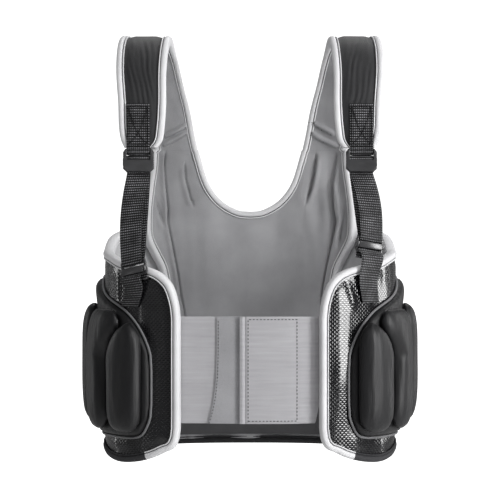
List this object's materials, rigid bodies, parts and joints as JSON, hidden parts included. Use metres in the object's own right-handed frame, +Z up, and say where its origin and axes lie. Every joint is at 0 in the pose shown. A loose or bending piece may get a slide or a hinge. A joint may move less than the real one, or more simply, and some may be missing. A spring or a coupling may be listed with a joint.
{
  "type": "rib protector",
  "caption": "Padded rib protector vest: shoulder straps, buckled webbing, glossy side panels with raised rib pads, and a wide elastic belt closed in front.",
  "frame": {"origin": "midway between the undersides of the two shoulder straps at their highest points, where the vest rests on the shoulders", "axes": "+Z up, -Y to the front, +X to the right as seen from the front"},
  "size_m": [0.3726, 0.2203, 0.468],
  "materials": {
    "lining": "woven, matt",
    "black_fabric": "woven, matt",
    "binding": "smooth folded tape",
    "dark_binding": "smooth folded tape",
    "carbon_vinyl": "glossy, embossed basket weave",
    "foam": "matt stretch cloth over foam",
    "piping": "smooth",
    "elastic": "ribbed elastic",
    "loop_felt": "brushed loop felt",
    "webbing": "ribbed webbing",
    "buckle": "semi-gloss moulded"
  },
  "bodies": {
    "root": {"back_panel": "lining", "hem_band": "dark_binding", "neck_binding": "binding", "hem_binding": "dark_binding", "belt_left": "elastic", "belt_loop_patch": "loop_felt", "belt_right": "elastic", "belt_flap": "elastic", "shoulder_strap_left": "black_fabric", "arm_binding_left": "binding", "side_panel_left": "carbon_vinyl", "side_binding_left": "binding", "pad_panel_left": "foam", "pad_piping_left": "piping", "rib_pad_left_front": "foam", "rib_pad_left_side": "foam", "rib_pad_left_rear": "foam", "patch_webbing_left": "webbing", "upper_buckle_left": "buckle", "adjuster_webbing_left": "webbing", "lower_buckle_left": "buckle", "webbing_tab_left": "webbing", "shoulder_strap_right": "black_fabric", "arm_binding_right": "binding", "side_panel_right": "carbon_vinyl", "side_binding_right": "binding", "pad_panel_right": "foam", "pad_piping_right": "piping", "rib_pad_right_front": "foam", "rib_pad_right_side": "foam", "rib_pad_right_rear": "foam", "patch_webbing_right": "webbing", "upper_buckle_right": "buckle", "adjuster_webbing_right": "webbing", "lower_buckle_right": "buckle", "webbing_tab_right": "webbing"}
  },
  "joints": []
}
